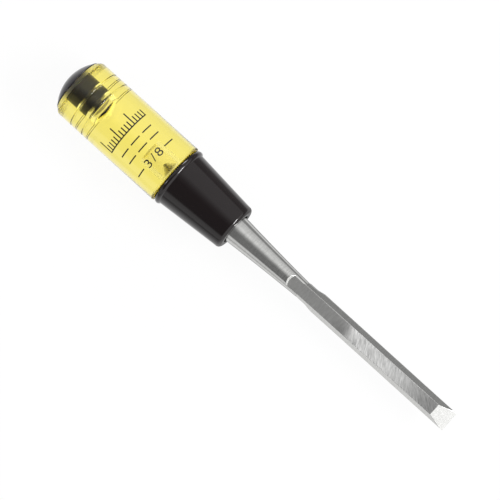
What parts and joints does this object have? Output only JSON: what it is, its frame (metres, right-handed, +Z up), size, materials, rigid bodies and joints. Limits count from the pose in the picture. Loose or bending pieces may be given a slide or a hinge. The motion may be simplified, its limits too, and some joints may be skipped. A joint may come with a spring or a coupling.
{
  "type": "wood chisel",
  "caption": "Bevel-edge wood chisel: ground steel blade, shank and tang in a clear yellow handle with a black domed strike cap and a tapered black ferrule.",
  "frame": {"origin": "middle of the tool's length, on the surface that the lying handle rests on", "axes": "+X along the tool from the strike cap to the cutting edge, +Z up on the bevelled side of the blade"},
  "size_m": [0.2228, 0.0294, 0.0294],
  "materials": {
    "blade_steel": "belt-ground carbon steel",
    "clear_acetate": "clear yellow, polished",
    "cap_plastic": "moulded black, glossy",
    "ferrule_plastic": "moulded black, glossy"
  },
  "bodies": {
    "root": {"blade": "blade_steel", "handle": "clear_acetate", "strike_cap": "cap_plastic", "ferrule": "ferrule_plastic"}
  },
  "joints": []
}
